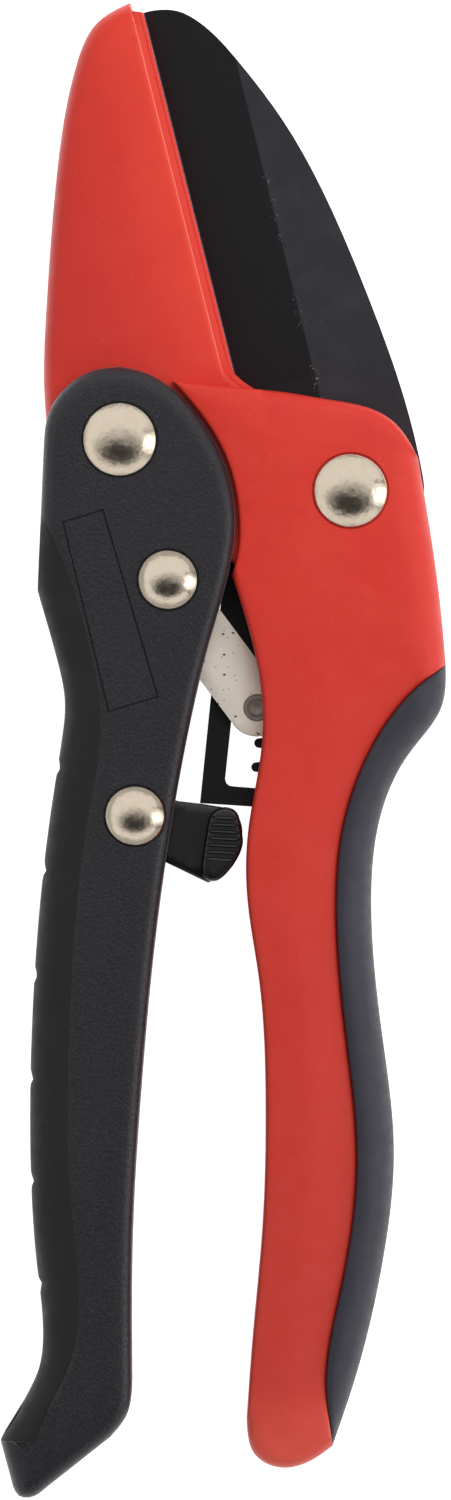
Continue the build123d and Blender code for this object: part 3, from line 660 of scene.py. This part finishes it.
def coated_blade():
    """Dark coating, lighter on the flat towards the spine, and rubbed bare at the very edge."""
    s = Shader("coated_blade", (0.006, 0.0055, 0.0068), 0.42, Specular_IOR_Level=0.3)
    across, edge = s.across_anvil()
    line = edge + GRIND_W * MM
    flat = s.ramp(across, line - 0.05 * MM, line + 0.15 * MM)
    # jaw_part keeps the lighter flat and its clouds off the tang below the jaw, so the tang stays darker
    # as painted shade.
    jaw_part = s.ramp(s.axis("Y"), 26 * MM, 34 * MM)
    s.tint(s.maths("MULTIPLY", flat, jaw_part), (0.0195, 0.019, 0.0245))
    clouds = s.maths("MULTIPLY", flat, s.ramp(s.noise(6, 5), 0.45, 0.7, 0, 0.7))
    s.tint(s.maths("MULTIPLY", clouds, jaw_part), (0.03, 0.0285, 0.036))
    near = s.ramp(s.maths("ABSOLUTE", s.maths("SUBTRACT", across, line), 0), 0.1 * MM, 0.9 * MM, 1, 0)
    flecks = s.maths("MULTIPLY", near, s.ramp(s.noise(0.35, 2), 0.62, 0.68))
    patches = s.maths("MULTIPLY", flecks, s.maths("MULTIPLY", jaw_part, s.ramp(s.noise(5, 2), 0.5, 0.58)))
    s.tint(patches, (0.2, 0.19, 0.2))
    dusty = s.maths("MULTIPLY", flat, s.ramp(s.noise(4, 2), 0.5, 0.6))
    s.tint(s.maths("MULTIPLY", dusty, s.ramp(s.cells(0.9), 0.0, 0.1, 0.8, 0)), (0.11, 0.11, 0.12))
    s.tint(s.ramp(s.cells(3.1), 0.0, 0.035, 0.7, 0), (0.1, 0.1, 0.1))
    bare = s.ramp(across, edge + 0.18 * MM, edge + 0.32 * MM, 0.8, 0)
    s.tint(s.maths("MULTIPLY", bare, jaw_part), (0.15, 0.11, 0.135))
    s.rough(s.ramp(s.noise(0.8, 4), 0.3, 0.7, 0.36, 0.52))
    s.bump(s.noise(0.25, 3), 0.014)
    return s.material


def latch_plastic():
    s = Shader("latch_plastic", (0.0042, 0.0036, 0.0038), 0.24, Specular_IOR_Level=0.75)
    s.tint(s.ramp(s.noise(2, 4), 0.45, 0.7, 0, 0.5), (0.007, 0.006, 0.0064))
    s.rough(s.ramp(s.noise(0.9, 3), 0.3, 0.7, 0.17, 0.3))
    s.bump(s.noise(0.6, 3), 0.006)
    return s.material


MATERIALS = {
    "red_nylon": red_nylon(),
    "grip_rubber": grip_rubber(),
    "black_nylon": black_nylon(),
    "black_rubber": black_rubber(),
    "nickel_steel": nickel(),
    "washer_steel": plain_steel("washer_steel", (0.50, 0.48, 0.45), 0.34),
    "spring_steel": plain_steel("spring_steel", (0.30, 0.29, 0.28), 0.3),
    "pin_steel": plain_steel("pin_steel", (0.42, 0.38, 0.33), 0.36),
    "link_nickel": link_nickel(),
    "coated_blade": coated_blade(),
    "latch_plastic": latch_plastic(),
}


# ---------------------------------------------------------------- body


def raised_face(d, plane):
    """The body's raised part and handle: a gently crowned face whose edges differ in softness."""
    drop = rounding(d, 0.45)
    for line, radius in (
        (BODY_TOP, 1.3), (BODY_RIGHT, 3.6), (BODY_END, 1.8), (BODY_INNER_EDGE, 0.9),
    ):
        drop = np.maximum(drop, rounding(distance(plane, curve(line), loop=False), radius))
    return BODY_HALF - drop - crown(d, 9.0, 0.7)


def jaw_face(d, plane):
    """The jaw's face, falling away to its tip and rolled over along its back."""
    back = distance(plane, curve(JAW_LEFT), loop=False)
    share = np.clip((plane[:, 1] - JAW_FALL_FROM) / JAW_FALL_LENGTH, 0, 1)
    half = HEAD_HALF + (JAW_TIP_HALF - HEAD_HALF) * share
    return half - rounding(back, JAW_BACK_ROUND) - crown(back, 14.0, 1.2) - rounding(d, 0.6)


raised = pillow(
    "raised",
    closed(
        curve([BODY_RECESS[-1], BODY_TOP[0]]), curve(BODY_TOP), curve(BODY_RIGHT),
        curve(GRIP_SEAM), curve(BODY_END), curve(BODY_INNER_EDGE[::-1]), curve(BODY_RECESS),
    ),
    raised_face,
)
jaw = pillow(
    "jaw",
    closed(
        np.array(JAW_FOOT), curve([JAW_FOOT[-1], JAW_SHOULDER]),
        arc(LEVER_PIVOT, JAW_HEAD_R, -54.5, -171.5), curve(JAW_LEFT), curve([JAW_LEFT[-1], JAW_FACE[0]]),
        curve(JAW_FACE), curve(JAW_ROOT),
    ),
    jaw_face,
)
edge_top, edge_foot = np.array(ANVIL_EDGE)


def bevelled(obj, width):
    """Takes the sharpness off a solid's edges."""
    step = obj.modifiers.new("edge", "BEVEL")
    step.width = width * MM
    step.segments = 2
    bpy.context.view_layer.update()
    bake(obj)
    return obj


def ledge(back, half, short):
    """One step of the anvil, its face a little behind the cutting edge's line, and its upper end
    some way short of the tip."""
    shift = np.array([-back, 0])
    top = edge_top + short * (edge_foot - edge_top) / np.linalg.norm(edge_foot - edge_top)
    foot = [(x - back, y) for x, y in LAND_FOOT]
    tip = (LAND_TIP[0], LAND_TIP[1] - short)
    loop = [top + shift, edge_foot + shift, *foot, LAND_INNER_END, tip]
    return bevelled(prism("ledge", loop, -half, half), 0.12)


land = [ledge(-0.08, ANVIL_HALF, 0.0), ledge(0.38, 3.62, 1.6), ledge(0.84, 4.0, 3.4)]


def slot_tools():
    """The blade's slot and the wider one for the links."""
    blade_slot = closed(
        np.array([edge_foot, *BLADE_SLOT_MOUTH]), arc(BLADE_PIVOT, BLADE_BASE_R, -25, -60),
        np.array(BLADE_SLOT_TANG), arc(BLADE_PIVOT, TANG_SWEEP_R, 177, 134.6),
    )
    return (
        prism("slot", blade_slot, -SLOT_HALF, SLOT_HALF),
        prism("slot", closed(curve(LINK_SLOT)), -LINK_SLOT_HALF, LINK_SLOT_HALF),
    )


cut(raised, *slot_tools(), *seats(BLADE_PIVOT, BIG_HEAD_R, BODY_HALF))
cut(
    jaw, *slot_tools(),
    prism("pocket", circle(LEVER_PIVOT, HEAD_POCKET_R), -HEAD_POCKET_HALF, HEAD_POCKET_HALF),
    prism("bore", circle(LEVER_PIVOT, BUSH_BORE_R), -ABOVE, ABOVE),
)
body = join("anvil_body_shell", raised, jaw, *land)
piece(body, "body", ["anvil_body"], "red_nylon")


def grip_face(d, plane):
    """Rubber that rolls over to the outer edge and tucks in beside the moulding."""
    outer = distance(plane, curve(GRIP_OUTER), loop=False)
    seam = distance(plane, curve(GRIP_SEAM), loop=False)
    drop = rounding(outer, GRIP_ROUND) + rounding(seam, GRIP_SEAM_ROUND) + crown(seam, 2.5, 0.3)
    return GRIP_HALF - drop


grip = pillow(
    "body_grip_rubber", closed(curve(GRIP_SEAM), curve(GRIP_OUTER[::-1])), grip_face, spacing=1.0
)
piece(grip, "body", ["body_grip"], "grip_rubber", sharp=60)

# ---------------------------------------------------------------- lever


def lever_face(d, plane):
    """The cheek's face, with a soft shoulder all round, and a fine one down the rubber's edge."""
    crease = distance(plane, curve(LEVER_CREASE), loop=False)
    (x, y), _ = LEVER_FACET
    facet = FACET_SLOPE * np.maximum(x - plane[:, 0], 0) * (plane[:, 1] < y)
    drop = rounding(d, LEVER_ROUND) + crown(d, 5.0, 0.2) + rounding(crease, CREASE_ROUND)
    return LEVER_HALF - drop - facet


def channel_tool():
    """The room between the lever's cheeks, open all round the head."""
    outline = closed(curve(LEVER_WEB), np.array([*LEVER_MOUTH, LEVER_BACK_END, LEVER_WEB[0]]))
    return prism("channel", outline, -CHEEK_INNER, CHEEK_INNER)


def band(out, nick=0.0):
    """The band along the lever's back that the rubber covers, its outside moved out."""
    back = curve(LEVER_OUTER_EDGE)
    back[:, 0] -= out
    for y in LEVER_GROOVE_YS:
        back[:, 0] += nick * np.exp(-(((back[:, 1] - y) / GROOVE_W) ** 2))
    toe = [(x - out, y) for x, y in LEVER_TOE[1:]]
    top = (LEVER_BAND_TOP[0] - out, LEVER_BAND_TOP[1])
    shoulder = (LEVER_SHOULDER[0] - out, LEVER_SHOULDER[1])
    return closed(
        curve(LEVER_CREASE), curve([LEVER_CREASE[-1], LEVER_CREASE_END]),
        curve([LEVER_CREASE_END, toe[0]]), curve(toe), curve([toe[-1], tuple(back[0])]), back,
        curve([tuple(back[-1]), shoulder]), curve([shoulder, top]), curve([top, LEVER_CREASE[0]]),
    )


lever = pillow(
    "lever",
    closed(
        curve(LEVER_HEAD), curve(LEVER_INNER_EDGE), curve(LEVER_FOOT),
        curve([LEVER_FOOT[-1], LEVER_END[0]]), curve(LEVER_END),
        curve([LEVER_END[-1], LEVER_TOE[0]]), curve(LEVER_TOE, 0.3),
        curve([LEVER_TOE[-1], LEVER_OUTER_EDGE[0]]), curve(LEVER_OUTER_EDGE),
        curve([LEVER_OUTER_EDGE[-1], LEVER_SHOULDER]), curve([LEVER_SHOULDER, LEVER_HEAD[0]]),
    ),
    lever_face,
    lines=[curve(LEVER_CREASE) + (offset, 0) for offset in (0.09, 0.32)] + [curve(LEVER_FACET)],
)


def panel_tools():
    """A shallow panel in the front cheek, with a fine groove round it."""
    corners = closed(np.array(LEVER_PANEL))
    tools = [prism("panel", corners, LEVER_HALF - PANEL_DEPTH, ABOVE)]
    for start, end in zip(corners, np.roll(corners, -1, axis=0)):
        along = (end - start) / np.linalg.norm(end - start)
        inward = np.array([-along[1], along[0]]) * PANEL_GROOVE_W
        side = [start, end, end + inward, start + inward]
        tools.append(prism("border", side, LEVER_HALF - PANEL_GROOVE_DEPTH, ABOVE))
    return tools


cut(
    lever, prism("band", band(3.0), -ABOVE, ABOVE), channel_tool(), *panel_tools(),
    prism("room", circle(LEVER_PIVOT, HEAD_ROOM_R), -CHEEK_INNER, CHEEK_INNER),
    *seats(LEVER_PIVOT, BIG_HEAD_R, LEVER_HALF), *seats(LINK_PIVOT, SMALL_HEAD_R, LEVER_HALF),
    *seats(LATCH_PIVOT, SMALL_HEAD_R, LEVER_HALF),
)
ribs = []
for (x, y), width in LEVER_RIBS:
    corners = [
        (x + i * width / 2, y + j * LEVER_RIB_HALF_L) for i, j in ((-1, -1), (1, -1), (1, 1), (-1, 1))
    ]
    ribs.append(prism("rib", corners, -CHEEK_INNER - 0.1, CHEEK_INNER + 0.1))
lever = join("lever_handle_shell", lever, *ribs)
piece(lever, "handle", ["lever_handle"], "black_nylon")


def lever_grip_face(d, plane):
    """Rubber that rolls over to the lever's back, with cross grooves that fade out."""
    edge = curve(LEVER_TOE + LEVER_OUTER_EDGE + [LEVER_SHOULDER, LEVER_BAND_TOP])
    back = distance(plane, edge, loop=False)
    fade = np.clip(1 - back / GROOVE_LENGTH, 0, 1)
    groove = sum(np.exp(-(((plane[:, 1] - y) / GROOVE_W) ** 2)) for y in LEVER_GROOVE_YS)
    slope = 0.5 * (1 - np.minimum(back, 5.0) / 5.0)
    return LEVER_HALF - 0.06 - slope - rounding(back, STRIP_ROUND) - GROOVE_DEPTH * groove * fade


strip = pillow("lever_grip_rubber", band(0.0, 0.4), lever_grip_face, spacing=0.9)
cut(strip, channel_tool())
piece(strip, "handle", ["lever_grip"], "black_rubber", sharp=50)

# ---------------------------------------------------------------- rivets


def rivet(node, body_name, shank_r, half):
    """A domed rivet with its tail spun over, in place of its CAD node."""
    low, high = (np.array(corner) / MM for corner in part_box(node))
    centre = (low + high)[:2] / 2
    head_r = (high[0] - low[0]) / 2
    base = half - HEAD_SINK
    rim = base + 0.45
    top = high[2] - MID
    tail = low[2] - MID
    tail_r = shank_r + 1.1
    rise = top - rim
    sphere = (head_r**2 + rise**2) / (2 * rise)
    profile = [(0, tail + 0.25), (tail_r * 0.45, tail + 0.2), (tail_r - 0.5, tail)]
    profile += [(tail_r - 0.15, tail + 0.08), (tail_r, tail + 0.3), (tail_r, tail + 0.6)]
    profile += [(shank_r, tail + 0.6), (shank_r, base)]
    profile += [(head_r - 0.1, base), (head_r, base + 0.1), (head_r, rim - 0.1)]
    for share in np.linspace(1, 0, 28):
        r = head_r * share * 0.995
        profile.append((r, top - sphere + math.sqrt(sphere**2 - r**2)))
    obj = lathe(node + "_turned", centre, profile)
    piece(obj, body_name, [node], "nickel_steel", sharp=50)


rivet("handle_pivot_rivet", "handle", BIG_SHANK_R, LEVER_HALF)
rivet("blade_pivot_rivet", "body", BIG_SHANK_R, BODY_HALF)
rivet("link_rivet", "handle", SMALL_SHANK_R, LEVER_HALF)
rivet("latch_rivet", "handle", SMALL_SHANK_R, LEVER_HALF)

# ---------------------------------------------------------------- latch


def pad_face(d, plane):
    """A thumb pad with a soft rim round a slightly sunken face."""
    sunk = 0.12 * np.clip((d - 0.35) / 0.25, 0, 1)
    return LATCH_PAD_HALF - PAD_RIM - rounding(d, 0.9) - sunk


def pad_underside(d, plane):
    return np.full(len(plane), LATCH_ARM_HALF - 0.3)


def pad_height(side, above, below):
    """The face on a side of the tool: one shape as it is in front, the other turned over behind."""
    return above if side > 0 else lambda d, plane: -below(d, plane)


def pad_rib(y, side):
    """A half-round rib across the pad, its ends run out."""
    reach = np.linspace(-4, 4, 321)
    line = np.column_stack([reach, y + RIB_SLOPE * reach])
    room = inside(line, pad)
    room[room] = distance(line[room], pad) > RIB_MARGIN
    low, high = line[room][0], line[room][-1]
    base = LATCH_PAD_HALF - PAD_RIM - 0.25
    height = LATCH_PAD_HALF - base
    turns = 12
    stations = 17
    points = []
    for share in np.sin(np.linspace(-1.47, 1.47, stations)):
        x, middle = (low + high) / 2 + (high - low) / 2 * share
        full = (1 - share**6) ** 0.5
        for turn in np.linspace(0, 2 * math.pi, turns, endpoint=False):
            up = max(math.sin(turn) * full * height, -0.1)
            points.append((x, middle + math.cos(turn) * RIB_HALF_W * full, side * (base + up)))
    faces = []
    for i in range(stations - 1):
        for j in range(turns):
            a, b = i * turns + j, i * turns + (j + 1) % turns
            faces.append((a, a + turns, b + turns, b)[::side])
    last = (stations - 1) * turns
    faces += [tuple(range(turns))[::side], tuple(range(last, last + turns))[::-side]]
    return to_object("rib", points, faces)


arms = pillow(
    "arms", closed(*(curve(run) for run in LATCH_ARM_RUNS)),
    lambda d, plane: LATCH_ARM_HALF - rounding(d, 0.4), rings=(0.04, 0.15, 0.4), spacing=0.9,
)
cut(arms, prism("room", LATCH_TANG_ROOM, -SLOT_HALF, SLOT_HALF))
tooth = prism("tooth", LATCH_TOOTH, *LATCH_TOOTH_HEIGHTS)
hub_profile = [(4.2, LATCH_HUB_HALF - 0.2), (4.0, LATCH_HUB_HALF), (0, LATCH_HUB_HALF)]
hub = lathe("hub", LATCH_PIVOT, [(r, -z) for r, z in hub_profile[::-1]] + hub_profile)
pad = closed(curve(LATCH_PAD, 0.3))
fine = (0.04, 0.12, 0.25, 0.4, 0.6, 0.9)
pads = []
for side in (1, -1):
    pads.append(pillow(
        "pad", pad, pad_height(side, pad_face, pad_underside),
        pad_height(side, pad_underside, pad_face), rings=fine, spacing=0.5,
    ))
    pads += [pad_rib(y, side) for y in LATCH_RIB_YS]
latch = join("lock_latch_shell", arms, tooth, hub, *pads)
piece(latch, "latch", ["lock_latch"], "latch_plastic", sharp=45)

# ---------------------------------------------------------------- links and pin

pin_low, pin_high = (np.array(corner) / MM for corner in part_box("ratchet_pin"))
LINK_PIN = (pin_low + pin_high)[:2] / 2
PIN_HALF = pin_high[2] - MID


def link_loop():
    """A link plate: round ends about the lever's rivet and the ratchet pin."""
    along = (LINK_PIN - LINK_PIVOT) / np.linalg.norm(LINK_PIN - LINK_PIVOT)
    across = np.array([-along[1], along[0]])
    heading = math.degrees(math.atan2(along[1], along[0]))
    pivot_end = LINK_PIVOT - across * LINK_OFFSET
    return closed(
        arc(LINK_PIN, LINK_PIN_END_R, heading - 90, heading + 90, 0.4),
        arc(pivot_end, LINK_END_R, heading + 90, heading + 270, 0.4),
    )


for node, side in (("link_front", 1), ("link_rear", -1)):
    low, high = (np.array(corner)[2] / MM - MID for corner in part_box(node))
    plate = pillow(
        "plate", link_loop(), lambda d, plane: high - rounding(d, LINK_EDGE),
        lambda d, plane: low + rounding(d, LINK_EDGE), rings=(0.03, 0.1, LINK_EDGE), spacing=1.2,
    )
    outside = high if side > 0 else -low
    sink = sorted((side * (outside - PIN_SEAT_DEPTH), side * ABOVE))
    cut(
        plate, prism("seat", circle(LINK_PIN, PIN_SEAT_R, 0.2), *sink),
        prism("bore", circle(LINK_PIVOT, LINK_BORE_R, 0.3), -ABOVE, ABOVE),
    )
    plate.name = node + "_plate"
    piece(plate, "link", [node], "link_nickel")

half_profile = [(1.1, PIN_HALF - 0.6), (1.8, PIN_HALF - 0.6), (1.8, PIN_HALF - 0.12)]
half_profile += [(1.7, PIN_HALF), (1.32, PIN_HALF), (1.22, PIN_HALF - 0.14), (1.08, PIN_HALF - 0.14)]
half_profile += [(0.98, PIN_HALF), (0.5, PIN_HALF), (0, PIN_HALF - 0.12)]
pin = lathe("ratchet_pin_turned", LINK_PIN, [(r, -z) for r, z in half_profile[::-1]] + half_profile)
piece(pin, "link", ["ratchet_pin"], "pin_steel")

# ---------------------------------------------------------------- other CAD nodes

replaced = {
    "anvil_body", "body_grip", "lever_handle", "lever_grip", "lock_latch", "link_front", "link_rear",
    "ratchet_pin", "handle_pivot_rivet", "blade_pivot_rivet", "link_rivet", "latch_rivet",
}
for row in frame["record"]["subparts"]:
    if row["node"] in replaced:
        continue
    obj = frame["nodes"][row["node"]]
    for material_slot in obj.material_slots:
        material_slot.material = MATERIALS[row["material_slot"]]

# ---------------------------------------------------------------- floor, light and camera


def sheet(name, width, length):
    """A flat rectangle about its own middle."""
    x = width / 2
    y = length / 2
    mesh = bpy.data.meshes.new(name)
    mesh.from_pydata([(-x, -y, 0), (x, -y, 0), (x, y, 0), (-x, y, 0)], [], [(0, 1, 2, 3)])
    obj = bpy.data.objects.new(name, mesh)
    bpy.context.scene.collection.objects.link(obj)
    return obj


floor = sheet("floor", 12.0, 12.0)
floor.location.z = -0.0002
pale = bpy.data.materials.new("pale_floor")
pale.use_nodes = True
pale_sockets = pale.node_tree.nodes["Principled BSDF"].inputs
pale_sockets["Base Color"].default_value = (0.5, 0.5, 0.5, 1)
pale_sockets["Roughness"].default_value = 0.9
pale_sockets["Emission Color"].default_value = (1, 1, 1, 1)
pale_sockets["Emission Strength"].default_value = 0.98
floor.data.materials.append(pale)


LIT_POINT = Vector((0, 0, 0.01))


def area_light(name, place, size, power):
    """A softbox that lights the tool, and that reflections don't see."""
    data = bpy.data.lights.new(name, "AREA")
    data.shape = "RECTANGLE"
    data.size, data.size_y = size
    data.energy = power
    light = bpy.data.objects.new(name, data)
    light.location = place
    light.rotation_euler = (LIT_POINT - Vector(place)).to_track_quat("-Z", "Y").to_euler()
    light.visible_glossy = False
    bpy.context.scene.collection.objects.link(light)


area_light("softbox_top", (0.3, 0.42, 0.8), (0.8, 0.7), 6.0)
area_light("softbox_left", (-1.1, 0.2, 0.8), (1.0, 1.4), 1.2)
area_light("softbox_right", (1.2, -0.2, 0.7), (0.9, 1.3), 3.5)


def card(name, place, size, brightness):
    """A glowing studio card that only reflections see. brightness makes the nodes that give its
    strength."""
    obj = sheet(name, *size)
    obj.location = place
    obj.rotation_euler = (Vector((0, 0, 0)) - Vector(place)).to_track_quat("-Z", "Y").to_euler()
    obj.visible_camera = obj.visible_diffuse = obj.visible_shadow = False
    obj.visible_transmission = obj.visible_volume_scatter = False
    material = bpy.data.materials.new(name)
    material.use_nodes = True
    tree = material.node_tree
    tree.nodes.clear()
    glow = tree.nodes.new("ShaderNodeEmission")
    out = tree.nodes.new("ShaderNodeOutputMaterial")
    tree.links.new(glow.outputs["Emission"], out.inputs["Surface"])
    tree.links.new(brightness(tree), glow.inputs["Strength"])
    obj.data.materials.append(material)


def oval(tree, shift, scale):
    """A card's own coordinates, and how far out each point of it is in an oval."""
    place = tree.nodes.new("ShaderNodeTexCoord").outputs["Object"]
    shape = tree.nodes.new("ShaderNodeMapping")
    shape.inputs["Location"].default_value = shift
    shape.inputs["Scale"].default_value = scale
    length = tree.nodes.new("ShaderNodeVectorMath")
    length.operation = "LENGTH"
    tree.links.new(place, shape.inputs["Vector"])
    tree.links.new(shape.outputs["Vector"], length.inputs[0])
    return place, length.outputs["Value"]


def faded(tree, value, low, high, start, end):
    """A value taken from one range to another, and clamped."""
    fade = tree.nodes.new("ShaderNodeMapRange")
    for label, number in (("From Min", low), ("From Max", high), ("To Min", start), ("To Max", end)):
        fade.inputs[label].default_value = number
    tree.links.new(value, fade.inputs["Value"])
    return fade.outputs["Result"]


def dark_oval(tree):
    """Bright all over, but for a dark oval with a ragged, soft outline."""
    place, out = oval(tree, (0, 0.5, 0), (0.7, 1.1, 1))
    ragged = tree.nodes.new("ShaderNodeTexNoise")
    ragged.inputs["Scale"].default_value = 6.0
    add = tree.nodes.new("ShaderNodeMath")
    tree.links.new(place, ragged.inputs["Vector"])
    tree.links.new(out, add.inputs[0])
    tree.links.new(ragged.outputs["Fac"], add.inputs[1])
    return faded(tree, add.outputs["Value"], 0.86, 1.44, 0.04, 0.86)


def soft_edged(tree):
    """Bright in the middle, fading to nothing at the card's edges."""
    _, out = oval(tree, (0, 0, 0), (1 / 0.55, 1 / 0.95, 1))
    return faded(tree, out, 0.1, 1.0, 2.6, 0.0)


card("overhead_card", (0, 0, 0.9), (5.0, 5.0), dark_oval)
card("right_card", (1.1, -0.1, 0.6), (1.1, 1.9), soft_edged)

world = bpy.data.worlds.new("studio")
world.use_nodes = True
world.node_tree.nodes["Background"].inputs["Color"].default_value = (1, 1, 1, 1)
world.node_tree.nodes["Background"].inputs["Strength"].default_value = 0.42
bpy.context.scene.world = world
bpy.context.scene.view_settings.view_transform = "Standard"

camera_data = bpy.data.cameras.new("camera")
camera_data.lens = 500
camera_data.sensor_width = 36
VIEW_LENGTH = 205.7 * MM  # seen along the frame's long side
VIEW_PLANE = (MID + 4.0) * MM  # the height that length is seen at
CAMERA_HEIGHT = VIEW_LENGTH * camera_data.lens / camera_data.sensor_width + VIEW_PLANE
camera = bpy.data.objects.new("camera", camera_data)
camera.location = (0.0002, -0.0001, CAMERA_HEIGHT)
camera_data.clip_end = 50
bpy.context.scene.collection.objects.link(camera)
bpy.context.scene.camera = camera
